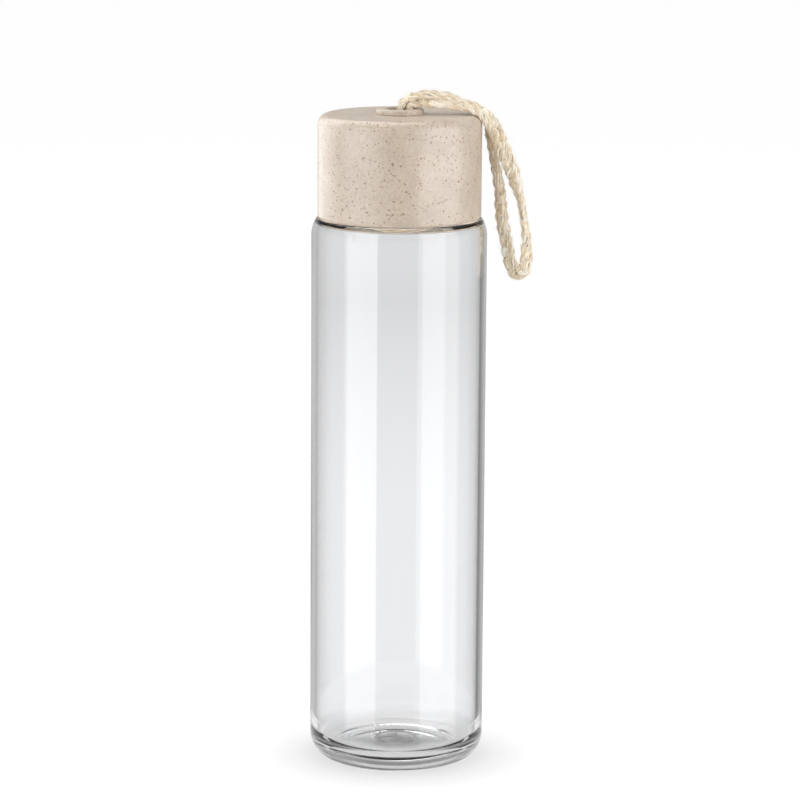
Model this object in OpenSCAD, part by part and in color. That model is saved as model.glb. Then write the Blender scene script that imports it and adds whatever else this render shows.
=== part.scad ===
// Glass water bottle with a screw cap and a braided carrying rope.
// Origin: centre of the base, on the surface that the bottle stands on. +Z is up along
// the bottle's axis, and the rope hangs down on the +X side.

/* [Bottle] */
// Outer diameter of the glass body
body_d = 65; // [60:1:75]
// Height of the shoulder's flat top above the base
shoulder_z = 204.5; // [150:0.5:260]
// Thickness of the glass wall
wall = 2.3; // [1.8:0.1:3]
// Thickness of the glass at the edge of the floor
floor_t = 6; // [4:0.5:8]
// Height of the dome pressed up into the underside
punt_h = 2; // [1:0.5:3]
// Outer radius of the neck between its threads
neck_r = 23.5; // [22:0.5:25]
// Height of the neck above the shoulder
neck_h = 23.5; // [20:0.5:30]

/* [Cap] */
// Outer diameter of the cap
cap_d = 60.6; // [58:0.2:64]
// Height of the cap's outer shell
cap_h = 38; // [34:0.5:48]
// Gap between the cap's lower edge and the shoulder
cap_gap = 0.3; // [0.2:0.1:1]
// Rounding of the cap's upper edge
cap_edge = 4; // [2:0.5:5]
// Thickness of the cap's skirt
skirt_t = 2.5; // [2:0.1:3]
// Radius of the disc that the rope comes out of
eyelet_r = 8.8; // [8:0.1:11]
// Thickness of that disc above the cap's top
eyelet_t = 2; // [1:0.5:3]

/* [Thread] */
// Rise of the cap in one turn
pitch = 4; // [3:0.5:4.5]
// Number of turns from closed to free
thread_turns = 1.5; // [1:0.25:1.5]

/* [Rope] */
// Width of the flat braid
rope_w = 5.6; // [4:0.2:5.8]
// Thickness of the flat braid
rope_t = 2.8; // [2:0.1:2.9]

/* [Hidden] */
$fn = 96;

// Bottle
body_r = body_d / 2;
inner_r = body_r - wall;
heel_w = 7.5;                       // the heel is a quarter ellipse
heel_h = 9.5;
foot_r = body_r - heel_w;           // outer edge of the ring that it stands on
foot_w = 2.5;
floor_corner = 6;                   // rounding inside, between floor and wall
floor_rise = 1.2;                   // the floor swells over the dome below it
shoulder_r1 = 11.6;                 // long arc that turns the wall inwards
shoulder_turn = 30.6;               // degrees that it turns through
shoulder_r2 = 1.2;                  // short arc up to the shoulder's flat top
wall_top = shoulder_z - shoulder_r2 - (shoulder_r1 - shoulder_r2) * sin(shoulder_turn);
inner_turn = 24;                    // degrees that the long arc turns through inside
inner_r2 = 1;                       // short arc inside, up to the shoulder's ceiling
inner_r1 = shoulder_r1 - wall;
inner_x = body_r - shoulder_r1 + (inner_r1 - inner_r2) * cos(inner_turn);
inner_z = wall_top + (inner_r1 - inner_r2) * sin(inner_turn);
ceiling_z = inner_z + inner_r2;
neck_t = 3;
neck_in = neck_r - neck_t;
neck_fillet = 1;
rim_z = shoulder_z + neck_h;
lip_out = 1.2;
lip_in = 1;

// Thread: a trapezoid ridge on the neck, and the same ridge facing inwards in the liner
ridge_h = 1.4;
ridge_root = 2.2;
ridge_crest = 1.2;
ridge_sink = 0.5;                   // how deep a ridge is set into its wall
ridge_fade_sink = 0.4;              // how deep its crest is at its two ends
ridge_steps = 36;                   // per turn
ridge_fade = 20;                    // degrees over which a ridge grows from its ends
thread_z = shoulder_z + 10;         // height of the neck ridge's lower end
thread_gap = 0.4;                   // from a crest to the wall opposite

// Cap
cap_r = cap_d / 2;
cap_z = shoulder_z + cap_gap;
cap_top = cap_z + cap_h;
cap_foot = 0.8;                     // rounding of the skirt's lower edge
top_t = 3;
shell_in = cap_r - skirt_t;
ceiling_fillet = 1.5;
ledge = 1.8;                        // step in the shell that the liner is pushed up to
hole_r = 6.5;                       // hole in the shell for the eyelet
glue_gap = 0.05;
seal_t = 1.8;
seal_w = 4.9;
liner_r = shell_in - glue_gap;
liner_in = neck_r + ridge_h + thread_gap;
liner_z = cap_z + 0.8;
liner_t = 2.2;
liner_top = rim_z + seal_t + liner_t;
lead_in = 0.6;                      // chamfer at the liner's mouth
seal_in = neck_in - 0.5;
plug_r = seal_in - 0.4;             // collar inside the ring that keeps it central
plug_t = 1.4;
plug_h = 1.2;

// Eyelet
eyelet_top = cap_top + eyelet_t;
barrel_r = hole_r - 0.1;
bore_r = 4.8;
barrel_z = cap_top - top_t - 1;
bead_h = 0.8;                       // snap bead that holds the barrel under the shell's top
bead_r = barrel_r + 0.5;
eyelet_edge = 0.7;
bore_edge = 0.8;

// Rope: each row is [x, y, z, turn]. The turn is the angle of the braid's wide side about
// the route, where 0 is along Y and 90 is in the plane in which the rope hangs.
knot_top = barrel_z - 0.8;
knot_h = 6;
knot_r = 6.8;
rope_sides = 8;
route = [
    [3, 0, knot_top, 0], [3, 0, 241.5, 0], [3.1, 0, 244.5, 0], [4.3, -0.2, 246.4, 0],
    [8, -0.8, 247, 10], [12, -1.4, 247, 18], [16, -1.8, 246.8, 22], [20, -2, 246.5, 28],
    [24, -2.2, 246.1, 35], [28, -2.6, 244.9, 38], [31, -3, 242.9, 50], [33.6, -3.2, 239.6, 70],
    [35.7, -3.2, 235.5, 85], [38, -3, 230.2, 90], [40.2, -2.7, 225, 95], [42.1, -2.3, 220, 115],
    [43.6, -2, 215, 150], [45, -1.6, 209.5, 175], [46.2, -1.2, 203, 185], [47, -0.8, 196.5, 205],
    [47.1, -0.4, 190.5, 222], [46.5, -0.2, 185.8, 232], [44.3, 0, 183.3, 234],
    [42, 0.2, 185.6, 232], [40.7, 0.4, 190, 228], [39.5, 0.8, 196, 224], [38.3, 1.2, 202, 222],
    [37.5, 1.6, 208, 220], [37.1, 2, 214, 214], [36.1, 2.4, 220, 206], [34.8, 2.8, 226.5, 198],
    [33.4, 3.1, 233, 188], [32.4, 3.2, 238.8, 182], [30.5, 3.3, 242.6, 178], [27, 3, 244.9, 174],
    [22.5, 2.2, 246.9, 166], [17.5, 1, 249, 160], [12.5, 0.4, 249.7, 160], [8, 0.2, 249.7, 165],
    [4.8, 0.1, 249.2, 175], [2.1, 0, 248, 180], [0.5, 0, 246, 180], [0, 0, 243, 180],
    [0, 0, knot_top, 180]];

// Points along an elliptical arc, from angle a to angle b
function arc(cx, cz, rx, rz, a, b, n) =
    [for (i = [0:n]) let (t = a + (b - a) * i / n) [cx + rx * cos(t), cz + rz * sin(t)]];

// Points along a shallow dome from the axis out to radius r
function dome(r, z, rise, n) =
    [for (i = [0:n]) let (u = i / n) [r * u, z + rise * (1 - u * u)]];

function reversed(list) = [for (i = [len(list) - 1:-1:0]) list[i]];

function unit(v) = v / norm(v);

// The faces of a tube swept through rings of points, with a cap on each end
function tube_faces(rings, sides) = concat(
    [[for (s = [0:sides - 1]) s]],
    [for (i = [0:rings - 2], s = [0:sides - 1]) let (n = (s + 1) % sides)
        [i * sides + s, (i + 1) * sides + s, (i + 1) * sides + n]],
    [for (i = [0:rings - 2], s = [0:sides - 1]) let (n = (s + 1) % sides)
        [i * sides + s, (i + 1) * sides + n, i * sides + n]],
    [[for (s = [sides - 1:-1:0]) (rings - 1) * sides + s]]);

function glass_profile() = concat(
    dome(foot_r - foot_w, 0, punt_h, 6),
    arc(foot_r, heel_h, heel_w, heel_h, -90, 0, 12),
    arc(body_r - shoulder_r1, wall_top, shoulder_r1, shoulder_r1, 0, shoulder_turn, 6),
    arc(body_r - shoulder_r1 + (shoulder_r1 - shoulder_r2) * cos(shoulder_turn),
        shoulder_z - shoulder_r2, shoulder_r2, shoulder_r2, shoulder_turn, 90, 5),
    arc(neck_r + neck_fillet, shoulder_z + neck_fillet, neck_fillet, neck_fillet, 270, 180, 4),
    arc(neck_r - lip_out, rim_z - lip_out, lip_out, lip_out, 0, 90, 5),
    arc(neck_in + lip_in, rim_z - lip_in, lip_in, lip_in, 90, 180, 5),
    arc(neck_in + lip_out, ceiling_z + lip_out, lip_out, lip_out, 180, 270, 5),
    arc(inner_x, inner_z, inner_r2, inner_r2, 90, inner_turn, 4),
    arc(body_r - shoulder_r1, wall_top, inner_r1, inner_r1, inner_turn, 0, 5),
    arc(inner_r - floor_corner, floor_t + floor_corner, floor_corner, floor_corner, 0, -90, 8),
    reversed(dome(inner_r - floor_corner, floor_t, floor_rise, 4)));

// A helical ridge on a wall of radius wall_r. dir is 1 when it faces outwards, -1 inwards.
module ridge(wall_r, dir, z0) {
    steps = round(thread_turns * ridge_steps);
    points = [for (i = [0:steps])
        let (a = i * 360 / ridge_steps,
            left = (thread_turns * 360 - a) / ridge_fade,
            grow = min(1, a / ridge_fade, left),
            crest = wall_r + dir * (ridge_h * grow - ridge_fade_sink * (1 - grow)),
            root = wall_r - dir * ridge_sink,
            z = z0 + pitch * a / 360)
        for (p = [[root, -ridge_root / 2], [crest, -ridge_crest / 2],
                [crest, ridge_crest / 2], [root, ridge_root / 2]])
            [p[0] * cos(a), p[0] * sin(a), z + p[1]]];
    faces = tube_faces(steps + 1, 4);
    polyhedron(points, dir < 0 ? faces : [for (f = faces) reversed(f)], convexity = 10);
}

module glass_bottle() {
    color([0.86, 0.9, 0.92, 0.35]) {
        rotate_extrude() polygon(glass_profile());
        ridge(neck_r, 1, thread_z);
    }
}

module cap_shell() {
    color([0.84, 0.76, 0.67]) rotate_extrude() polygon(concat(
        arc(cap_r - cap_foot, cap_z + cap_foot, cap_foot, cap_foot, -90, 0, 4),
        arc(cap_r - cap_edge, cap_top - cap_edge, cap_edge, cap_edge, 0, 90, 8),
        [[hole_r, cap_top], [hole_r, cap_top - top_t]],
        arc(shell_in - ledge - ceiling_fillet, cap_top - top_t - ceiling_fillet, ceiling_fillet,
            ceiling_fillet, 90, 0, 4),
        [[shell_in - ledge, liner_top], [shell_in, liner_top], [shell_in, cap_z]]));
}

module cap_liner() {
    roof = rim_z + seal_t;
    color([0.93, 0.91, 0.87]) {
        rotate_extrude() polygon([
            [liner_in + lead_in, liner_z], [liner_r, liner_z], [liner_r, liner_top],
            [0, liner_top], [0, roof], [plug_r - plug_t, roof], [plug_r - plug_t, roof - plug_h],
            [plug_r, roof - plug_h], [plug_r, roof], [liner_in, roof],
            [liner_in, liner_z + lead_in]]);
        ridge(liner_in, -1, thread_z - pitch / 2);
    }
}

module seal_ring() {
    color([0.96, 0.96, 0.94]) rotate_extrude()
        translate([seal_in, rim_z]) square([seal_w, seal_t]);
}

module rope_eyelet() {
    color([0.82, 0.74, 0.65]) rotate_extrude() polygon(concat(
        [[barrel_r, barrel_z], [bead_r, barrel_z + bead_h / 2], [barrel_r, barrel_z + bead_h],
            [barrel_r, cap_top], [eyelet_r, cap_top]],
        arc(eyelet_r - eyelet_edge, eyelet_top - eyelet_edge, eyelet_edge, eyelet_edge, 0, 90, 4),
        arc(bore_r + bore_edge, eyelet_top - bore_edge, bore_edge, bore_edge, 90, 180, 4),
        arc(bore_r + bore_edge, barrel_z + bore_edge, bore_edge, bore_edge, 180, 270, 4)));
}

// One station's ring of points: an ellipse, turned about the route
function rope_ring(i) =
    let (here = [for (k = [0:2]) route[i][k]],
        before = [for (k = [0:2]) route[max(i - 1, 0)][k]],
        after = [for (k = [0:2]) route[min(i + 1, len(route) - 1)][k]],
        along = unit(after - before),
        across = unit([0, 1, 0] - along[1] * along),
        up = cross(along, across),
        turn = route[i][3])
    [for (s = [0:rope_sides - 1])
        let (a = (s + 0.5) * 360 / rope_sides,
            w = rope_w / 2 * cos(a),
            t = rope_t / 2 * sin(a))
        here + (w * cos(turn) - t * sin(turn)) * across + (w * sin(turn) + t * cos(turn)) * up];

module rope_loop() {
    points = [for (i = [0:len(route) - 1]) for (p = rope_ring(i)) p];
    color([0.86, 0.79, 0.65])
        polyhedron(points, tube_faces(len(route), rope_sides), convexity = 10);
}

// The two ends are knotted together inside the cap: a flattened ball, wider than the eyelet
module rope_knot() {
    flat_r = 5.6;
    edge = knot_h / 2;
    color([0.84, 0.77, 0.63]) translate([0, 0, knot_top - knot_h]) rotate_extrude()
        polygon(concat([[0, 0]], arc(flat_r, edge, knot_r - flat_r, edge, -90, 90, 10),
            [[0, knot_h]]));
}

glass_bottle();
cap_shell();
cap_liner();
seal_ring();
rope_eyelet();
rope_loop();
rope_knot();
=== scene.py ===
"""A glass water bottle with a screw cap in speckled composite and a braided rope loop.

Lengths in this script are in millimetres until a mesh is made, and metres after that (MM). Every
round piece is a lathed outline, finer than its CAD node and in the same place.
"""

import math
import random

import bpy
import numpy as np
from mathutils import Matrix, Vector


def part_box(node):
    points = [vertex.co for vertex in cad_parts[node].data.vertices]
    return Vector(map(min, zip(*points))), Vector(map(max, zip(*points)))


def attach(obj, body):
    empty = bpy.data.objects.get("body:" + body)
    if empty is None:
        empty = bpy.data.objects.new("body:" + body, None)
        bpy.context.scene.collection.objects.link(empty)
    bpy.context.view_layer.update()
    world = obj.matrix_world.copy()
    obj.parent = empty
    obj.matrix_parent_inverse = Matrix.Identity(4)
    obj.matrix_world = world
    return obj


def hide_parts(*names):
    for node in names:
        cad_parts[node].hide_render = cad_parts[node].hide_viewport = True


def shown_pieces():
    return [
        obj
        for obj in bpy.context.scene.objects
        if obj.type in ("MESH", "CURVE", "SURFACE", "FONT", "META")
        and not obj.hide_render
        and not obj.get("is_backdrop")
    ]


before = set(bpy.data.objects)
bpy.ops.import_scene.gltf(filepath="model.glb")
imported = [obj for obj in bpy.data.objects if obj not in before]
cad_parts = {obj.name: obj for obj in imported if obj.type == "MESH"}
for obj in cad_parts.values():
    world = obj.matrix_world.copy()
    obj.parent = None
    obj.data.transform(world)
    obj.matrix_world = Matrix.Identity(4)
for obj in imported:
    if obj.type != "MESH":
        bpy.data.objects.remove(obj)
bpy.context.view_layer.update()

MM = 0.001
TINY = 1e-6                         # mm, for telling whether a point is on the axis or on a wall


def high(node):
    """Height of a CAD node's top, in mm."""
    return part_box(node)[1][2] / MM


def low(node):
    """Height of a CAD node's underside, in mm."""
    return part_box(node)[0][2] / MM


def radius(node):
    """Half of a CAD node's width across Y, in mm."""
    return (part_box(node)[1][1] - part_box(node)[0][1]) / 2 / MM


# ---------------------------------------------------------------- camera

CAMERA_AT = (0, -1.3544, 0.3878)
LOOK_AT = (0.0007, 0, 0.1358)
ROLL = math.radians(0.38)           # the picture leans a little to the right
SENSOR = 36                         # mm
LENS = 166.3                        # mm


def make_camera():
    """A long lens looking down at the bottle a little from the front."""
    data = bpy.data.cameras.new("camera")
    data.sensor_width = SENSOR
    data.lens = LENS
    data.clip_start = 0.01
    camera = bpy.data.objects.new("camera", data)
    bpy.context.scene.collection.objects.link(camera)
    aim = (Vector(LOOK_AT) - Vector(CAMERA_AT)).to_track_quat("-Z", "Y").to_matrix().to_4x4()
    place = aim @ Matrix.Rotation(ROLL, 4, "Z")
    place.translation = CAMERA_AT
    camera.matrix_world = place
    bpy.context.scene.camera = camera


make_camera()


# ---------------------------------------------------------------- mesh helpers

def add_mesh(name, points, faces, material, sharp=40):
    """A smooth-shaded object from points in mm. Edges sharper than `sharp` degrees stay sharp."""
    mesh = bpy.data.meshes.new(name)
    mesh.from_pydata((np.asarray(points) * MM).tolist(), [], faces)
    mesh.validate()
    mesh.shade_smooth()
    mesh.set_sharp_from_angle(angle=math.radians(sharp))
    mesh.materials.append(material)
    obj = bpy.data.objects.new(name, mesh)
    bpy.context.scene.collection.objects.link(obj)
    return obj


def add_attribute(obj, name, values):
    """A vector on every point, for a material to read."""
    layer = obj.data.attributes.new(name, "FLOAT_VECTOR", "POINT")
    layer.data.foreach_set("vector", np.asarray(values, dtype=np.float32).ravel())


def arc(cx, cz, rx, rz, start, stop, count):
    """Points along an elliptical arc, in degrees."""
    angles = np.radians(np.linspace(start, stop, count + 1))
    return [(cx + rx * math.cos(a), cz + rz * math.sin(a)) for a in angles]


def line(a, b, count):
    """Points from a to b, without b."""
    return [(a[0] + (b[0] - a[0]) * i / count, a[1] + (b[1] - a[1]) * i / count) for i in range(count)]


def dome(r, z, rise, count):
    """A shallow dome from the axis out to radius r."""
    return [(r * i / count, z + rise * (1 - (i / count) ** 2)) for i in range(count + 1)]


def lathe(name, outline, material, sides=256, swell=None, rise=None, sharp=40):
    """Turns a closed outline of (radius, height) about Z.

    swell(angle, radius, height) adds to a radius, and rise(angle, radius, height) to a height.
    """
    points, rings = [], []
    for r, z in outline:
        if r < TINY:
            rings.append([len(points)])
            points.append((0, 0, z))
            continue
        rings.append(list(range(len(points), len(points) + sides)))
        for s in range(sides):
            a = 2 * math.pi * s / sides
            out = r + (swell(a, r, z) if swell else 0)
            up = z + (rise(a, r, z) if rise else 0)
            points.append((out * math.cos(a), out * math.sin(a), up))
    faces = []
    loop = rings[1:] + rings[:1] if len(rings[0]) > 1 or len(rings[-1]) > 1 else rings[1:]
    for one, two in zip(rings, loop):
        if len(one) == 1 and len(two) == 1:
            continue
        for s in range(sides):
            n = (s + 1) % sides
            quad = [one[s % len(one)], one[n % len(one)], two[n % len(two)], two[s % len(two)]]
            faces.append(tuple(dict.fromkeys(quad)))
    return add_mesh(name, points, faces, material, sharp)


# ---------------------------------------------------------------- material helpers

def new_material(name):
    """A node material: returns the material, its node tree and its shader."""
    material = bpy.data.materials.new(name)
    material.use_nodes = True
    tree = material.node_tree
    shader = tree.nodes["Principled BSDF"]
    return material, tree, shader


def node(tree, kind, inputs=(), **settings):
    """A node of that kind, with settings and input values given."""
    made = tree.nodes.new(kind)
    for key, value in settings.items():
        setattr(made, key, value)
    for key, value in dict(inputs).items():
        if hasattr(value, "is_output"):
            tree.links.new(value, made.inputs[key])
        else:
            made.inputs[key].default_value = value
    return made


def ramp(tree, factor, stops, ease="LINEAR"):
    """A colour ramp: stops are (position, colour or grey)."""
    made = node(tree, "ShaderNodeValToRGB", {"Fac": factor})
    made.color_ramp.interpolation = ease
    elements = made.color_ramp.elements
    while len(elements) < len(stops):
        elements.new(0.5)
    for element, (position, colour) in zip(elements, stops):
        element.position = position
        grey = isinstance(colour, (int, float))
        element.color = (colour, colour, colour, 1) if grey else (*colour, 1)
    return made.outputs["Color"]


def blend_colour(tree, factor, one, two):
    """one where factor is 0, two where it is 1."""
    made = node(tree, "ShaderNodeMix", data_type="RGBA")
    for key, value in (("Factor", factor), ("A", one), ("B", two)):
        sockets = [s for s in made.inputs if s.name == key and s.enabled]
        if hasattr(value, "is_output"):
            tree.links.new(value, sockets[0])
        elif key == "Factor":
            sockets[0].default_value = value
        else:
            sockets[0].default_value = (*value, 1)
    return [s for s in made.outputs if s.enabled][0]


def maths(tree, operation, a, b, clamp=False):
    """One step of arithmetic on values or sockets."""
    made = node(tree, "ShaderNodeMath", operation=operation, use_clamp=clamp)
    for socket, value in zip(made.inputs, (a, b)):
        if hasattr(value, "is_output"):
            tree.links.new(value, socket)
        else:
            socket.default_value = value
    return made.outputs[0]


def position(tree):
    """Where a point is at rest: it moves with the piece."""
    return node(tree, "ShaderNodeTexCoord").outputs["Object"]


def noise(tree, vector, scale, detail=2, roughness=0.5):
    """Cloudy grey noise; scale is in features per metre, or per mm of the rope's own marks."""
    made = node(tree, "ShaderNodeTexNoise", {"Vector": vector, "Scale": scale, "Detail": detail,
                                             "Roughness": roughness})
    return made.outputs["Fac"]


def give_bump(tree, shader, height, strength, distance):
    """Small relief in a material; distance is in metres."""
    bump = node(tree, "ShaderNodeBump", {"Strength": strength, "Distance": distance, "Height": height})
    tree.links.new(bump.outputs[0], shader.inputs["Normal"])


# ---------------------------------------------------------------- materials

def glass_material():
    """Clear soda-lime glass: a trace of green-grey, and walls that are not perfectly even."""
    material, tree, shader = new_material("clear_glass")
    shader.inputs["Base Color"].default_value = (0.966, 0.969, 0.975, 1)
    shader.inputs["Transmission Weight"].default_value = 1
    shader.inputs["Roughness"].default_value = 0
    shader.inputs["IOR"].default_value = 1.5
    place = node(tree, "ShaderNodeMapping", {"Vector": position(tree), "Scale": (1, 1, 0.35)}).outputs[0]
    waves = noise(tree, place, 38, detail=1)
    give_bump(tree, shader, waves, 0.12, 0.0006)
    return material


FLECK_RAGGED = 0.16                 # how far a fleck's edge strays, as a share of a cell
FLECK_LEAST = 0.35                  # size of the smallest fleck against the average one
FLECK_EDGE = 14                     # how crisp its edge is


def flecks(tree, place, scale, share, size, stretch, seed):
    """A mask of scattered flecks: 1 in a fleck. share of the cells hold one, each of its own size."""
    spot = node(tree, "ShaderNodeMapping",
                {"Vector": place,
                 "Location": (seed, seed * 0.7, seed * 1.3),
                 "Rotation": (seed, seed * 2, 0),
                 "Scale": (1, stretch, 1)}).outputs[0]
    wobble = node(tree, "ShaderNodeTexNoise", {"Vector": spot, "Scale": scale * 5, "Detail": 2})
    offset = node(tree, "ShaderNodeVectorMath", {0: wobble.outputs["Color"]}, operation="SCALE")
    offset.inputs["Scale"].default_value = FLECK_RAGGED / scale
    bent = node(tree, "ShaderNodeVectorMath", {0: spot, 1: offset.outputs[0]}, operation="ADD").outputs[0]
    cells = node(tree, "ShaderNodeTexVoronoi", {"Vector": bent, "Scale": scale, "Randomness": 1})
    pick = node(tree, "ShaderNodeSeparateColor", {"Color": cells.outputs["Color"]})
    chosen = maths(tree, "LESS_THAN", pick.outputs[0], share)
    spread = maths(tree, "MULTIPLY", pick.outputs[1], pick.outputs[1])
    reach = maths(tree, "MULTIPLY", maths(tree, "ADD", spread, FLECK_LEAST), size)
    inside = maths(tree, "SUBTRACT", reach, cells.outputs["Distance"])
    soft = maths(tree, "MULTIPLY", inside, FLECK_EDGE, clamp=True)
    return maths(tree, "MULTIPLY", chosen, soft)


CLOUDY_BEIGE = [(0.3, (0.53, 0.43, 0.34)), (0.52, (0.605, 0.495, 0.39)), (0.75, (0.67, 0.57, 0.465))]
BROWN_GRAIN = (0.44, 0.33, 0.24)
PALE_GRAIN = (0.76, 0.68, 0.60)
PALE_FIBRE = (0.76, 0.69, 0.60)
SPECK_BROWN = (0.27, 0.14, 0.08)
# Three sizes of speck: cells per metre, share filled, size, stretch, seed, strength
SPECKS = [(1100, 0.5, 0.34, 0.7, 0.6, 0.7),
          (800, 0.26, 0.3, 0.6, 3.3, 0.75),
          (480, 0.13, 0.2, 0.7, 1.4, 0.85)]


def composite_material():
    """Moulded plant-fibre composite: greyish beige, cloudy, with brown specks and pale fibres."""
    material, tree, shader = new_material("speckled_composite")
    place = position(tree)
    clouds = noise(tree, place, 90, detail=6, roughness=0.7)
    colour = ramp(tree, clouds, CLOUDY_BEIGE)
    grain = noise(tree, place, 900, detail=5, roughness=0.8)
    colour = blend_colour(tree, ramp(tree, grain, [(0.36, 0.45), (0.52, 0.0)]), colour, BROWN_GRAIN)
    colour = blend_colour(tree, ramp(tree, grain, [(0.55, 0.0), (0.68, 0.35)]), colour, PALE_GRAIN)
    pale = flecks(tree, place, 900, 0.4, 0.3, stretch=0.35, seed=2.1)
    colour = blend_colour(tree, maths(tree, "MULTIPLY", pale, 0.25), colour, PALE_FIBRE)
    for scale, share, size, stretch, seed, strength in SPECKS:
        specks = flecks(tree, place, scale, share, size, stretch, seed)
        colour = blend_colour(tree, maths(tree, "MULTIPLY", specks, strength), colour, SPECK_BROWN)
    tree.links.new(colour, shader.inputs["Base Color"])
    shader.inputs["Roughness"].default_value = 0.3
    shader.inputs["Specular IOR Level"].default_value = 0.85
    peel = noise(tree, place, 500, detail=3, roughness=0.6)
    give_bump(tree, shader, peel, 0.2, 0.0001)
    return material


def liner_material():
    """Plain moulded plastic, off-white, with a faint moulding grain."""
    material, tree, shader = new_material("liner_plastic")
    place = position(tree)
    clouds = noise(tree, place, 120, detail=3)
    tree.links.new(ramp(tree, clouds, [(0.3, (0.72, 0.68, 0.60)), (0.7, (0.78, 0.75, 0.68))]),
                   shader.inputs["Base Color"])
    shader.inputs["Roughness"].default_value = 0.38
    grain = noise(tree, place, 1500, detail=2)
    give_bump(tree, shader, grain, 0.2, 0.00005)
    return material


def silicone_material():
    """Milky silicone, soft to the touch."""
    material, tree, shader = new_material("silicone")
    place = position(tree)
    clouds = noise(tree, place, 200, detail=3)
    tree.links.new(ramp(tree, clouds, [(0.3, (0.78, 0.79, 0.78)), (0.7, (0.84, 0.85, 0.84))]),
                   shader.inputs["Base Color"])
    shader.inputs["Roughness"].default_value = 0.5
    shader.inputs["Subsurface Weight"].default_value = 0.3
    shader.inputs["Subsurface Scale"].default_value = 0.002
    grain = noise(tree, place, 2500, detail=2)
    give_bump(tree, shader, grain, 0.15, 0.00004)
    return material


FIBRE_TONES = [(0.3, (0.58, 0.44, 0.27)), (0.4, (0.80, 0.69, 0.51)), (0.5, (0.92, 0.86, 0.74)),
               (0.66, (0.97, 0.95, 0.90))]
STRAW = (0.66, 0.50, 0.31)
HONEY = (0.72, 0.52, 0.29)
HUSK = (0.42, 0.32, 0.21)
# Brown of the painted shade in the rope's creases, standing in for shade between yarns and strands.
PAINTED_CREASE_SHADE = (0.25, 0.18, 0.11)


def rope_material():
    """Undyed natural fibre, coloured by two vectors on every point.

    "along" holds the point's place in its yarn: round it and down it. "look" holds how near the
    outside of its strand the point is, which sets a painted shade on points deep in a strand, and
    the yarn's own tone.
    """
    material, tree, shader = new_material("braided_rope")
    place = node(tree, "ShaderNodeAttribute", attribute_name="along").outputs["Vector"]
    stretched = node(tree, "ShaderNodeMapping", {"Vector": place, "Scale": (1, 1, 0.16)}).outputs[0]
    look = node(tree, "ShaderNodeAttribute", attribute_name="look").outputs["Vector"]
    look = node(tree, "ShaderNodeSeparateXYZ", {"Vector": look})
    fibres = noise(tree, stretched, 1.8, detail=4, roughness=0.65)
    fine = noise(tree, stretched, 5, detail=3, roughness=0.6)
    patches = noise(tree, place, 0.22, detail=2)
    colour = ramp(tree, fibres, FIBRE_TONES)
    straw = ramp(tree, look.outputs["Y"], [(0.2, 0.75), (0.45, 0.0)])
    colour = blend_colour(tree, straw, colour, STRAW)
    colour = blend_colour(tree, ramp(tree, patches, [(0.48, 0.0), (0.68, 0.75)]), colour, HONEY)
    colour = blend_colour(tree, ramp(tree, fine, [(0.3, 0.45), (0.46, 0.0)]), colour, HUSK)
    # Painted shade: points deep in a strand, away from its outside, are darkened towards that brown.
    crease_shade_mask = ramp(tree, look.outputs["X"], [(0.74, 0.7), (0.9, 0.0)])
    colour = blend_colour(tree, crease_shade_mask, colour, PAINTED_CREASE_SHADE)
    tree.links.new(colour, shader.inputs["Base Color"])
    shader.inputs["Roughness"].default_value = 0.7
    shader.inputs["Sheen Weight"].default_value = 0.35
    shader.inputs["Sheen Roughness"].default_value = 0.4
    bump = node(tree, "ShaderNodeBump", {"Strength": 0.8, "Distance": 0.0001, "Height": fine})
    coarse = node(tree, "ShaderNodeBump", {"Strength": 0.8, "Distance": 0.00015, "Height": fibres,
                                           "Normal": bump.outputs[0]})
    tree.links.new(coarse.outputs[0], shader.inputs["Normal"])
    return material


GLASS = glass_material()
COMPOSITE = composite_material()
LINER = liner_material()
SILICONE = silicone_material()
ROPE = rope_material()


# ---------------------------------------------------------------- the rope

# The route of part.scad's rope: x, y, z in mm and the turn of the braid's wide side in degrees.
ROUTE = [
    (3, 0, 238, 0), (3, 0, 241.5, 0), (3.1, 0, 244.5, 0), (4.3, -0.2, 246.4, 0),
    (8, -0.8, 247, 10), (12, -1.4, 247, 18), (16, -1.8, 246.8, 22), (20, -2, 246.5, 28),
    (24, -2.2, 246.1, 35), (28, -2.6, 244.9, 38), (31, -3, 242.9, 50),
    (33.6, -3.2, 239.6, 70), (35.7, -3.2, 235.5, 85), (38, -3, 230.2, 90), (40.2, -2.7, 225, 95),
    (42.1, -2.3, 220, 115), (43.6, -2, 215, 150), (45, -1.6, 209.5, 175),
    (46.2, -1.2, 203, 185), (47, -0.8, 196.5, 205), (47.1, -0.4, 190.5, 222),
    (46.5, -0.2, 185.8, 232), (44.3, 0, 183.3, 234), (42, 0.2, 185.6, 232),
    (40.7, 0.4, 190, 228), (39.5, 0.8, 196, 224), (38.3, 1.2, 202, 222),
    (37.5, 1.6, 208, 220), (37.1, 2, 214, 214), (36.1, 2.4, 220, 206), (34.8, 2.8, 226.5, 198),
    (33.4, 3.1, 233, 188), (32.4, 3.2, 238.8, 182), (30.5, 3.3, 242.6, 178),
    (27, 3, 244.9, 174), (22.5, 2.2, 246.9, 166), (17.5, 1, 249, 160),
    (12.5, 0.4, 249.7, 160), (8, 0.2, 249.7, 165), (4.8, 0.1, 249.2, 175),
    (2.1, 0, 248, 180), (0.5, 0, 246, 180), (0, 0, 243, 180), (0, 0, 238, 180)]
ROPE_WIDTH = 5.7
ROPE_THICK = 3.1
BRAID = 13                          # mm, length of one full braid of a strand
SQUARE = 2.6                        # how long a strand stays at the braid's edge before it crosses
STRANDS = 3
STRAND_W, STRAND_T = 1.8, 1.25      # mm, half width and half thickness of one strand
STEP = 0.4                          # mm, between rings of a yarn
BETWEEN = 24                        # curve points between two points of a route
YARNS, YARN_SIDES, YARN_R = 10, 6, 0.3
YARN_TWIST = 0.35                   # radians per mm
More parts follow.
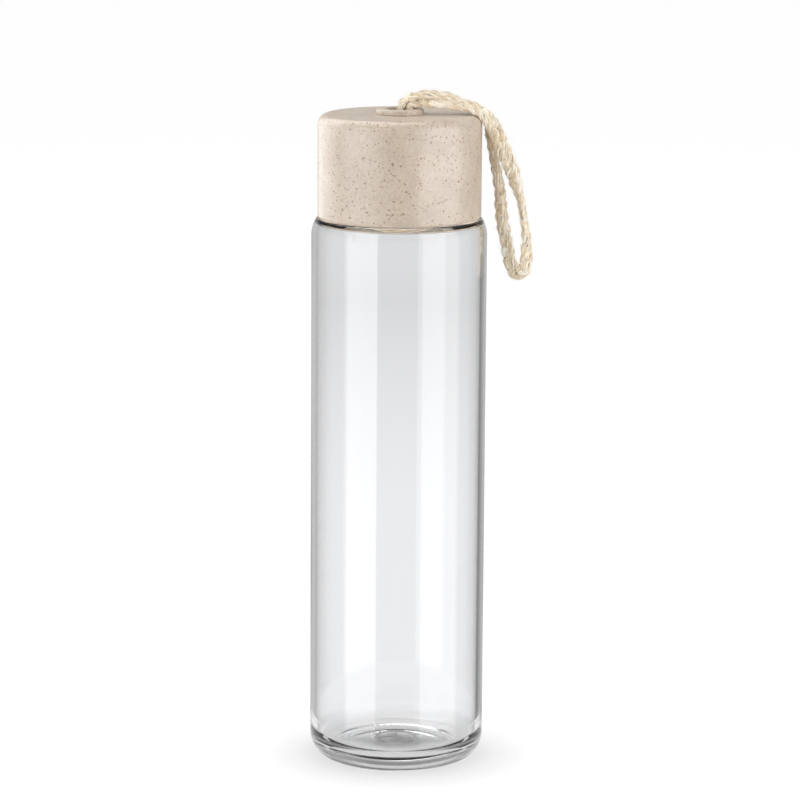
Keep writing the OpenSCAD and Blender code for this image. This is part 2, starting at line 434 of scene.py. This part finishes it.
FIBRE_TWIST = 0.8                   # radians per mm, of the fibres round a yarn
YARN_APART = 300                    # mm, so that no two yarns share one stretch of noise
FUZZ = 2600                         # loose fibres
FUZZ_RINGS = 6                      # rings of points along each
# The fuzz counts as the outside of a strand, so it gets none of the painted crease shade.
FUZZ_LOOK = (1, 0.8, 0)             # on the outside, and pale
KNOT_WIDTH, KNOT_THICK = 4.2, 2.5
KNOT_STRAND_W, KNOT_STRAND_T = 1.0, 0.65
KNOT_POINTS = 30


def smooth_route(route, step):
    """The route as a Catmull-Rom curve, sampled evenly: points, turns and distances along it."""
    rows = np.array(route, dtype=float)
    padded = np.vstack([2 * rows[0] - rows[1], rows, 2 * rows[-1] - rows[-2]])
    fine = []
    for i in range(1, len(padded) - 2):
        p0, p1, p2, p3 = padded[i - 1:i + 3]
        for t in np.linspace(0, 1, BETWEEN, endpoint=False):
            fine.append(0.5 * (2 * p1 + (p2 - p0) * t + (2 * p0 - 5 * p1 + 4 * p2 - p3) * t ** 2
                               + (3 * p1 - p0 - 3 * p2 + p3) * t ** 3))
    fine.append(rows[-1])
    fine = np.array(fine)
    run = np.concatenate([[0], np.cumsum(np.linalg.norm(np.diff(fine[:, :3], axis=0), axis=1))])
    even = np.linspace(0, run[-1], int(run[-1] / step) + 1)
    rows = np.stack([np.interp(even, run, fine[:, k]) for k in range(4)], axis=1)
    return rows[:, :3], np.radians(rows[:, 3]), even


def unit(v):
    """Vectors of length one."""
    return v / np.linalg.norm(v, axis=-1, keepdims=True)


def braid_frame(points, turns):
    """Directions at each point: along the route, and the braid's wide and thin sides."""
    along = unit(np.gradient(points, axis=0))
    level = np.array([0.0, 1.0, 0.0])
    across = unit(level - along[:, 1:2] * along)
    up = np.cross(along, across)
    c, s = np.cos(turns)[:, None], np.sin(turns)[:, None]
    return along, c * across + s * up, c * up - s * across


def wander(rng, run, scale, amount):
    """A slow random drift along the rope: even noise of that length scale in mm."""
    knots = np.arange(0, run[-1] + 2 * scale, scale)
    values = np.array([rng.uniform(-1, 1) for _ in knots])
    t = run / scale
    i = np.minimum(t.astype(int), len(knots) - 2)
    f = t - i
    f = f * f * (3 - 2 * f)
    return amount * (values[i] * (1 - f) + values[i + 1] * f)


def yarn_tube(rng, centre, wide, thin, run, half_w, half_t, sides):
    """One yarn as rings of points, with lengthwise fibre ridges that twist round it."""
    tangent = unit(np.gradient(centre, axis=0))
    wide = unit(wide - np.sum(wide * tangent, axis=1, keepdims=True) * tangent)
    thin = np.cross(tangent, wide)
    angles = np.arange(sides) * 2 * math.pi / sides
    shift = rng.uniform(0, 2 * math.pi) + wander(rng, run, 6, 0.8)[:, None]
    ridges = 0.08 * np.cos(3 * (angles[None, :] + FIBRE_TWIST * run[:, None]) + shift)
    size = (1 + wander(rng, run, 4, 0.12))[:, None] * (1 + ridges)
    rings = (centre[:, None, :]
             + (half_w * np.cos(angles)[None, :] * size)[..., None] * wide[:, None, :]
             + (half_t * np.sin(angles)[None, :] * size)[..., None] * thin[:, None, :])
    return rings, angles


def tube_faces(start, rings, sides):
    """Quads between rings of points, and a closing face at each end."""
    faces = [tuple(start + s for s in reversed(range(sides)))]
    for i in range(rings - 1):
        for s in range(sides):
            n = (s + 1) % sides
            a, b = start + i * sides, start + (i + 1) * sides
            faces.append((a + s, a + n, b + n, b + s))
    faces.append(tuple(start + (rings - 1) * sides + s for s in range(sides)))
    return faces


def braid(name, rng, points, turns, run, width, thick, half_w, half_t, yarn_r):
    """A flat braid along a route: three strands, each a bundle of yarns wound round a core.

    Returns the object and the ring points of its yarns.
    """
    _, wide, thin = braid_frame(points, turns)
    sway = width / 2 - half_w
    lift = thick / 2 - half_t
    all_points, faces, marks, looks, yarns = [], [], [], [], []
    for k in range(STRANDS):
        phase = 2 * math.pi * (run / BRAID + k / STRANDS) + wander(rng, run, 9, 0.22)
        side = np.tanh(SQUARE * np.sin(phase)) / math.tanh(SQUARE)
        x = (sway + wander(rng, run, 7, 0.12)) * side
        y = (lift + wander(rng, run, 7, 0.08)) * np.sin(2 * phase)
        centre = points + x[:, None] * wide + y[:, None] * thin
        parts = [(centre, half_w - 0.8 * yarn_r, half_t - 0.6 * yarn_r)]
        for j in range(YARNS):
            turn = 2 * math.pi * j / YARNS + YARN_TWIST * run + wander(rng, run, 5, 0.25)
            across = (half_w - yarn_r + wander(rng, run, 3, 0.07)) * np.cos(turn)
            over = (half_t - yarn_r + wander(rng, run, 3, 0.07)) * np.sin(turn)
            parts.append((centre + across[:, None] * wide + over[:, None] * thin,
                          yarn_r * rng.uniform(0.9, 1.15), yarn_r * rng.uniform(0.85, 1.05)))
        for middle, w, t in parts:
            rings, angles = yarn_tube(rng, middle, wide, thin, run, w, t, YARN_SIDES)
            faces += tube_faces(len(all_points), len(run), YARN_SIDES)
            a = angles[None, :] + FIBRE_TWIST * run[:, None]
            far = np.broadcast_to(run[:, None] + YARN_APART * len(yarns), a.shape)
            marks += np.stack([np.cos(a), np.sin(a), far], axis=-1).reshape(-1, 3).tolist()
            # How near the outside of its strand a point is, 1 at the outside. The material paints crease
            # shade where it is lower.
            from_centre = rings - centre[:, None]
            across = np.sum(from_centre * wide[:, None], axis=2)
            over = np.sum(from_centre * thin[:, None], axis=2)
            out = np.sqrt((across / half_w) ** 2 + (over / half_t) ** 2)
            tone = np.full(a.shape, rng.random())
            looks += np.stack([out, tone, np.zeros(a.shape)], axis=-1).reshape(-1, 3).tolist()
            all_points += rings.reshape(-1, 3).tolist()
            yarns.append(rings)
    made = add_mesh(name, all_points, faces, ROPE, sharp=70)
    add_attribute(made, "along", marks)
    add_attribute(made, "look", looks)
    return made, yarns


def stray_fibres(name, rng, yarns, count):
    """Short loose fibres that lie along the yarns and lift off them."""
    points, faces, marks = [], [], []
    for _ in range(count):
        rings = rng.choice(yarns)
        total, sides = rings.shape[0], rings.shape[1]
        i = rng.randrange(20, total - 30)
        s = rng.randrange(sides)
        base = rings[i, s]
        out = unit(base - rings[i].mean(axis=0))
        ahead = unit(rings[i + 8, s] - rings[i - 8, s]) * rng.choice((-1, 1))
        side = np.cross(out, ahead) * rng.uniform(-1, 1)
        length = rng.uniform(1.5, 6)
        lift = rng.uniform(0.05, 0.5) * length * rng.random() ** 1.5
        u = np.linspace(0, 1, FUZZ_RINGS)[:, None]
        path = (base - 0.05 * out + ahead * length * u + out * (0.05 + lift * u ** 2)
                + side * (0.25 * length * u ** 2))
        tangent = unit(np.gradient(path, axis=0))
        wide = unit(np.cross(tangent, out + 0.01))
        thin = np.cross(tangent, wide)
        taper = rng.uniform(0.02, 0.05) * (1 - 0.6 * u)
        ring = np.stack([path + taper * (math.cos(a) * wide + math.sin(a) * thin)
                         for a in np.radians([90, 210, 330])], axis=1)
        faces += tube_faces(len(points), FUZZ_RINGS, 3)
        points += ring.reshape(-1, 3).tolist()
        mark = [rng.uniform(-1, 1), rng.uniform(-1, 1), rng.uniform(0, 200)]
        marks += [mark] * (FUZZ_RINGS * 3)
    made = add_mesh(name, points, faces, ROPE, sharp=180)
    add_attribute(made, "along", marks)
    add_attribute(made, "look", [FUZZ_LOOK] * len(points))
    return made


def knot_route(node_name):
    """A trefoil, flattened into the space of the knot's CAD node."""
    middle = (low(node_name) + high(node_name)) / 2
    reach = radius(node_name) - 2.3
    rows = []
    for i in range(KNOT_POINTS + 1):
        t = 2 * math.pi * i / KNOT_POINTS
        x = (math.sin(t) + 2 * math.sin(2 * t)) / 3 * reach
        y = (math.cos(t) - 2 * math.cos(2 * t)) / 3 * reach
        z = middle - 1.5 * math.sin(3 * t)
        rows.append((x + 1.5, y, z, 60 * math.sin(t)))
    return rows


def make_rope():
    """The braid, its loose fibres and the knot inside the cap."""
    rng = random.Random(7)
    points, turns, run = smooth_route(ROUTE, STEP)
    rope, yarns = braid("rope_braid", rng, points, turns, run, ROPE_WIDTH, ROPE_THICK,
                        STRAND_W, STRAND_T, YARN_R)
    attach(rope, "rope")
    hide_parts("rope_loop")
    fuzz = stray_fibres("rope_fibres", rng, yarns, FUZZ)
    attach(fuzz, "rope")
    kpoints, kturns, krun = smooth_route(knot_route("rope_knot"), STEP)
    knot, _ = braid("rope_end_knot", rng, kpoints, kturns, krun, KNOT_WIDTH, KNOT_THICK,
                    KNOT_STRAND_W, KNOT_STRAND_T, YARN_R)
    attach(knot, "rope")
    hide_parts("rope_knot")


make_rope()


# ---------------------------------------------------------------- the bottle

WALL = 2.3
HEEL_W, HEEL_H = 7.5, 9.5           # the rounded edge that the bottle stands inside
FOOT_W = 2.5                        # the flat ring that it stands on
PUNT = 2                            # rise of the domed underside
FLOOR, FLOOR_CORNER, FLOOR_RISE = 6, 6, 1.2
SHOULDER_R1, SHOULDER_R2 = 11.6, 1.2
SHOULDER_TURN = math.radians(30.6)  # where the large radius gives way to the small one
INNER_R2, INNER_TURN = 1, math.radians(24)
SHOULDER_DOWN = 23.5                # below the rim
NECK, NECK_WALL = 23.5, 3           # outer radius and thickness
THREAD_UP = 10                      # start of the thread above the shoulder
PITCH, TURNS = 4, 1.5
THREAD_MARGIN = 1.5
THREAD_STEPS = 40
RIDGE, RIDGE_ROOT, RIDGE_CREST, RIDGE_FADE = 1.4, 2.2, 1.2, math.radians(20)


def ridge_height(angle, height, start):
    """How far the thread stands out at that place; start is the height of its lower end."""
    total = TURNS * 2 * math.pi
    best = 0
    for turn in range(2):
        a = angle + 2 * math.pi * turn
        if a > total:
            continue
        grow = min(1, a / RIDGE_FADE, (total - a) / RIDGE_FADE)
        off = abs(height - start - PITCH * a / (2 * math.pi))
        flank = (RIDGE_ROOT / 2 - off) / ((RIDGE_ROOT - RIDGE_CREST) / 2)
        flank = max(0, min(1, flank))
        best = max(best, grow * flank * flank * (3 - 2 * flank))
    return best * RIDGE


def hump(value, middle, half):
    """1 at the middle, 0 at half away from it and beyond."""
    off = min(1, abs(value - middle) / half)
    return (1 - off * off) ** 2


def mould_mark(angle, r):
    """Plain moulded relief under the base: a broken ring, a few bars inside it and a knurled rim."""
    ring = hump(r, 8.2, 0.9) * (0.55 + 0.45 * math.cos(4 * angle))
    bars = hump(r, 4.2, 2.2) * max(0, math.cos(3 * angle + 0.7)) ** 2
    knurl = hump(r, 18.6, 1.6) * (0.5 + 0.5 * math.cos(48 * angle))
    return 0.6 * ring + 0.6 * bars + 0.1 * knurl


def make_bottle():
    """One outline, up the outside from the middle of the base and down the inside."""
    body = radius("glass_bottle")
    rim = high("glass_bottle")
    shoulder = rim - SHOULDER_DOWN
    inner = body - WALL
    foot = body - HEEL_W
    wall_top = shoulder - SHOULDER_R2 - (SHOULDER_R1 - SHOULDER_R2) * math.sin(SHOULDER_TURN)
    turn_x = body - SHOULDER_R1 + (SHOULDER_R1 - SHOULDER_R2) * math.cos(SHOULDER_TURN)
    turn = math.degrees(SHOULDER_TURN)
    inner_turn = math.degrees(INNER_TURN)
    thread = shoulder + THREAD_UP
    ridge_zone = (thread - THREAD_MARGIN, thread + PITCH * TURNS + THREAD_MARGIN)
    bore = NECK - NECK_WALL
    inner_r1 = SHOULDER_R1 - WALL
    inner_x = body - SHOULDER_R1 + (inner_r1 - INNER_R2) * math.cos(INNER_TURN)
    inner_z = wall_top + (inner_r1 - INNER_R2) * math.sin(INNER_TURN)
    outline = dome(foot - FOOT_W, 0, PUNT, 60)
    outline += arc(foot, HEEL_H, HEEL_W, HEEL_H, -90, 0, 28)
    outline += line((body, HEEL_H + 2), (body, wall_top - 2), 24)
    outline += arc(body - SHOULDER_R1, wall_top, SHOULDER_R1, SHOULDER_R1, 0, turn, 16)
    outline += arc(turn_x, shoulder - SHOULDER_R2, SHOULDER_R2, SHOULDER_R2, turn, 90, 8)[1:]
    outline += arc(NECK + 1, shoulder + 1, 1, 1, 270, 180, 6)
    outline += line((NECK, ridge_zone[0]), (NECK, ridge_zone[1]), THREAD_STEPS)
    outline += arc(NECK - 1.2, rim - 1.2, 1.2, 1.2, 0, 90, 8)
    outline += arc(bore + 1, rim - 1, 1, 1, 90, 180, 8)
    outline += arc(bore + 1.2, inner_z + INNER_R2 + 1.2, 1.2, 1.2, 180, 270, 8)
    outline += arc(inner_x, inner_z, INNER_R2, INNER_R2, 90, inner_turn, 8)
    outline += arc(body - SHOULDER_R1, wall_top, inner_r1, inner_r1, inner_turn, 0, 14)[1:]
    outline += line((inner, wall_top - 2), (inner, FLOOR + FLOOR_CORNER + 2), 24)
    outline += arc(inner - FLOOR_CORNER, FLOOR + FLOOR_CORNER, FLOOR_CORNER, FLOOR_CORNER, 0, -90, 24)
    outline += dome(inner - FLOOR_CORNER, FLOOR, FLOOR_RISE, 10)[::-1][1:]

    def swell(angle, r, z):
        """The thread, on the neck only."""
        if abs(r - NECK) > TINY or not ridge_zone[0] <= z <= ridge_zone[1]:
            return 0
        return ridge_height(angle, z, thread)

    def rise(angle, r, z):
        """The mould mark, under the base only."""
        return mould_mark(angle, r) if z <= PUNT and r < foot - FOOT_W - 0.5 else 0

    glass = lathe("bottle_glass", outline, GLASS, sides=288, swell=swell, rise=rise)
    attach(glass, "bottle")
    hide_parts("glass_bottle")
    glass.visible_shadow = False        # light passes through it


make_bottle()


# ---------------------------------------------------------------- the cap

CAP_EDGE, CAP_FOOT, SKIRT, TOP = 4, 0.8, 2.5, 3
HOLE, LEDGE = 6.5, 1.8              # radius of the hole, and depth of the ledge on the liner
THREAD_PLAY = 0.4


def make_shell():
    """The cap's outer skin, open below, with a hole in its top."""
    out = radius("cap_shell")
    top, foot = high("cap_shell"), low("cap_shell")
    inside = out - SKIRT
    ledge_z = high("cap_liner")
    outline = arc(out - CAP_FOOT, foot + CAP_FOOT, CAP_FOOT, CAP_FOOT, -90, 0, 8)
    outline += line((out, foot + 3), (out, top - CAP_EDGE - 2), 8)
    outline += arc(out - CAP_EDGE, top - CAP_EDGE, CAP_EDGE, CAP_EDGE, 0, 90, 20)
    outline += line((out - CAP_EDGE - 3, top), (HOLE + 2, top), 4)
    outline += [(HOLE, top), (HOLE, top - TOP)]
    outline += arc(inside - LEDGE - 1.5, top - TOP - 1.5, 1.5, 1.5, 90, 0, 8)
    outline += [(inside - LEDGE, ledge_z), (inside, ledge_z), (inside, foot + 0.3), (inside + 0.3, foot)]
    shell = lathe("cap_shell_moulding", outline, COMPOSITE)
    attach(shell, "cap")
    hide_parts("cap_shell")


def make_eyelet():
    """The collar in the top's hole, with a barrel through it and a bead that keeps it in."""
    top, foot = high("rope_eyelet"), low("rope_eyelet")
    out = radius("rope_eyelet")
    cap_top = high("cap_shell")
    barrel, bead, bore = HOLE - 0.1, HOLE + 0.4, 4.8
    outline = [(barrel, foot), (bead, foot + 0.4), (barrel, foot + 0.8), (barrel, cap_top),
               (out - 0.2, cap_top), (out, cap_top + 0.2)]
    outline += arc(out - 0.7, top - 0.7, 0.7, 0.7, 0, 90, 10)
    outline += arc(bore + 0.8, top - 0.8, 0.8, 0.8, 90, 180, 10)
    outline += arc(bore + 0.8, foot + 0.8, 0.8, 0.8, 180, 270, 10)
    eyelet = lathe("rope_eyelet_moulding", outline, COMPOSITE, sides=160)
    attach(eyelet, "cap")
    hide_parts("rope_eyelet")


def make_liner():
    """The inner cap: closed top, collar that centres the seal, and a thread inside its skirt."""
    out = radius("cap_liner")
    top, foot = high("cap_liner"), low("cap_liner")
    rim = high("glass_bottle")
    seal_top = high("seal_ring")
    wall = NECK + RIDGE + THREAD_PLAY
    collar = NECK - NECK_WALL - 0.9
    start = rim - SHOULDER_DOWN + THREAD_UP - PITCH / 2
    zone = (start - THREAD_MARGIN, start + PITCH * TURNS + THREAD_MARGIN)
    outline = [(wall + 0.6, foot), (out - 0.2, foot), (out, foot + 0.2), (out, top - 0.3),
               (out - 0.3, top)]
    outline += [(0, top), (0, seal_top), (collar - 1.4, seal_top), (collar - 1.4, seal_top - 1.0),
                (collar - 1.2, seal_top - 1.2), (collar - 0.2, seal_top - 1.2),
                (collar, seal_top - 1.0), (collar, seal_top), (wall, seal_top)]
    outline += line((wall, zone[1]), (wall, zone[0]), THREAD_STEPS)
    outline += [(wall, foot + 0.6)]

    def swell(angle, r, z):
        """The liner's thread, which stands inward."""
        if abs(r - wall) > TINY or not zone[0] <= z <= zone[1]:
            return 0
        return -ridge_height(angle, z, start)

    liner = lathe("cap_liner_moulding", outline, LINER, sides=192, swell=swell)
    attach(liner, "cap")
    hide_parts("cap_liner")


def make_seal():
    """A plain ring with rounded edges."""
    lowest, highest = low("seal_ring"), high("seal_ring")
    out = radius("seal_ring")
    inner = NECK - NECK_WALL - 0.5
    soft = 0.25
    outline = []
    for cx, cz, start in ((out - soft, highest - soft, 0), (inner + soft, highest - soft, 90),
                          (inner + soft, lowest + soft, 180), (out - soft, lowest + soft, 270)):
        outline += arc(cx, cz, soft, soft, start, start + 90, 5)
    seal = lathe("seal_ring_silicone", outline, SILICONE, sides=192)
    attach(seal, "seal")
    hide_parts("seal_ring")


make_shell()
make_eyelet()
make_liner()
make_seal()


# ---------------------------------------------------------------- floor and light

FLOOR_HALF = 15000                  # mm
NEAR = 0.07                         # m
FLOOR_GLOW = 0.93
FLOOR_GREY = 0.25
WORLD_GLOW = 0.6
DIFFUSE_SHARE = 0.68                # of the floor's and the world's light that reaches matt surfaces
COOL, WARM = (0.93, 0.97, 1), (1, 0.82, 0.62)
# Shadow under the bottle: (distance from the axis in units of 0.1 m, brightness)
CONTACT_SHADE = [(0, 0.1), (0.1, 0.15), (0.18, 0.5), (0.28, 0.6), (0.36, 0.78), (0.45, 0.86),
                 (0.55, 0.97)]
# The floor's brightness as the glass shows it: (distance in units of 2 m, brightness)
FALL_OFF = [(0, 0.88), (0.23, 0.87), (0.36, 0.81), (0.55, 0.7), (0.64, 0.75)]
# The room by bearing, in degrees from the camera's side: dark cards left and right give thin
# edge lines in the glass
FLAGS = [(-180, 1), (-155, 0.98), (-135, 0.7), (-120, 0.8), (-105, 1), (105, 1), (120, 0.6),
         (135, 0.25), (150, 0.55), (165, 1)]
# The room above the cards by height, from 0 straight down to 1 straight up, and where it starts
UPPER = [(0.68, 0.4), (0.76, 0.9)]
UPPER_FROM = [(0.585, 0), (0.605, 1)]
BOX_LOW, BOX_HIGH = -0.6, 1.2       # m, lower and upper edge of the upright soft boxes


def make_floor():
    """A pale floor that glows. Beyond NEAR, reflections pass through it and show the lights alone."""
    material, tree, shader = new_material("pale_floor")
    tree.nodes.remove(shader)
    out = tree.nodes["Material Output"]
    flat = node(tree, "ShaderNodeVectorMath", {0: position(tree), 1: (1, 1, 0)}, operation="MULTIPLY")
    away = node(tree, "ShaderNodeVectorMath", {0: flat.outputs[0]}, operation="LENGTH").outputs["Value"]
    shade = ramp(tree, maths(tree, "MULTIPLY", away, 10), CONTACT_SHADE, ease="B_SPLINE")
    far = ramp(tree, maths(tree, "MULTIPLY", away, 0.5), FALL_OFF)
    path = node(tree, "ShaderNodeLightPath")
    seen = maths(tree, "MAXIMUM", far, path.outputs["Is Camera Ray"])
    bounced = maths(tree, "MULTIPLY", path.outputs["Is Diffuse Ray"], 1 - DIFFUSE_SHARE)
    kept = maths(tree, "SUBTRACT", FLOOR_GLOW, maths(tree, "MULTIPLY", bounced, FLOOR_GLOW))
    strength = maths(tree, "MULTIPLY", maths(tree, "MULTIPLY", shade, seen), kept)
    matt = node(tree, "ShaderNodeBsdfDiffuse", {"Color": (FLOOR_GREY, FLOOR_GREY, FLOOR_GREY, 1)})
    glow = node(tree, "ShaderNodeEmission", {"Color": (1, 1, 1, 1), "Strength": strength})
    lit = node(tree, "ShaderNodeAddShader")
    tree.links.new(matt.outputs[0], lit.inputs[0])
    tree.links.new(glow.outputs[0], lit.inputs[1])
    clear = node(tree, "ShaderNodeBsdfTransparent")
    reflected = maths(tree, "GREATER_THAN", path.outputs["Glossy Depth"], 0.5)
    mirrored = maths(tree, "MULTIPLY", reflected, maths(tree, "GREATER_THAN", away, NEAR))
    mix = node(tree, "ShaderNodeMixShader", {"Fac": mirrored})
    tree.links.new(lit.outputs[0], mix.inputs[1])
    tree.links.new(clear.outputs[0], mix.inputs[2])
    tree.links.new(mix.outputs[0], out.inputs["Surface"])
    corners = [(-FLOOR_HALF, -FLOOR_HALF, 0), (FLOOR_HALF, -FLOOR_HALF, 0),
               (FLOOR_HALF, FLOOR_HALF, 0), (-FLOOR_HALF, FLOOR_HALF, 0)]
    floor = add_mesh("floor", corners, [(0, 1, 2, 3)], material)
    floor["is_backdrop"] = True


def area_light(name, shape, width, depth, power, colour, place, toward, only=None):
    """An area light in metres and watts. only is a collection: the light falls on nothing else."""
    data = bpy.data.lights.new(name, "AREA")
    data.shape = shape
    data.size = width
    data.size_y = depth
    data.energy = power
    data.color = colour
    light = bpy.data.objects.new(name, data)
    light.location = place
    light.rotation_euler = toward.to_track_quat("-Z", "Y").to_euler()
    light.visible_camera = False
    if only:
        light.light_linking.receiver_collection = only
    bpy.context.scene.collection.objects.link(light)
    return light


def softbox(name, angle, distance, width, strength, only, colour=(1, 1, 1), lowest=BOX_LOW,
            highest=BOX_HIGH):
    """An upright box facing the bottle's axis. angle is from the camera's side, + to the right."""
    a = math.radians(angle)
    place = Vector((math.sin(a) * distance, -math.cos(a) * distance, (lowest + highest) / 2))
    power = strength * width * (highest - lowest) * math.pi
    area_light(name, "RECTANGLE", width, highest - lowest, power, colour, place,
               Vector((-place.x, -place.y, 0)), only)


def make_world():
    """An even room with dark cards low at both sides and a darker band above them."""
    world = bpy.data.worlds.new("studio")
    world.use_nodes = True
    tree = world.node_tree
    background = tree.nodes["Background"]
    path = node(tree, "ShaderNodeLightPath")
    bounced = maths(tree, "MULTIPLY", path.outputs["Is Diffuse Ray"], WORLD_GLOW * (1 - DIFFUSE_SHARE))
    tree.links.new(maths(tree, "SUBTRACT", WORLD_GLOW, bounced), background.inputs["Strength"])
    way = node(tree, "ShaderNodeTexCoord").outputs["Generated"]
    way = node(tree, "ShaderNodeSeparateXYZ", {"Vector": way})
    bearing = maths(tree, "ARCTAN2", way.outputs["X"], maths(tree, "MULTIPLY", way.outputs["Y"], -1))
    bearing = maths(tree, "ADD", maths(tree, "DIVIDE", bearing, 2 * math.pi), 0.5)
    cards = ramp(tree, bearing, [(0.5 + angle / 360, grey) for angle, grey in FLAGS])
    height = maths(tree, "ADD", maths(tree, "MULTIPLY", way.outputs["Z"], 0.5), 0.5)
    colour = blend_colour(tree, ramp(tree, height, UPPER_FROM), cards, ramp(tree, height, UPPER))
    tree.links.new(colour, background.inputs["Color"])
    bpy.context.scene.world = world


def make_lights():
    """Soft boxes for the glass, the cap and the rope apart, a glow inside, and one lamp overhead."""
    glass = bpy.data.collections.new("lights_for_glass")
    solid = bpy.data.collections.new("lights_for_the_rest")
    cap = bpy.data.collections.new("lights_for_cap")
    rope = bpy.data.collections.new("lights_for_rope")
    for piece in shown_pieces():
        if piece.name == "bottle_glass":
            glass.objects.link(piece)
            continue
        solid.objects.link(piece)
        is_rope = piece.name in ("rope_braid", "rope_fibres", "rope_end_knot")
        (rope if is_rope else cap).objects.link(piece)
    softbox("left_box", -50, 1.0, 0.80, 1.15, glass)
    softbox("right_box", 59, 1.0, 1.05, 1.15, glass)
    softbox("left_sheen", -58, 1.1, 1.25, 1.78, solid, COOL)
    softbox("right_sheen", 60, 1.1, 1.4, 2.35, solid, COOL)
    softbox("left_rim", -125, 1.1, 1.2, 1.75, solid, COOL)
    softbox("rope_fill", 5, 1.2, 0.8, 2.7, rope, lowest=-0.2, highest=0.6)
    glow = area_light("light_up_the_bottle", "DISK", 0.056, 0.056, 0.2, WARM, (0, 0, 0.06),
                      Vector((0, 0, 1)), cap)
    glow.visible_glossy = glow.visible_transmission = False
    overhead = Vector((-0.3, 0.4, 1.3))
    area_light("overhead", "RECTANGLE", 1, 1, 2.1 * math.pi, (1, 1, 1), overhead,
               Vector((0, 0, 0.2)) - overhead)


make_floor()
make_world()
make_lights()
bpy.context.scene.view_settings.view_transform = "Standard"
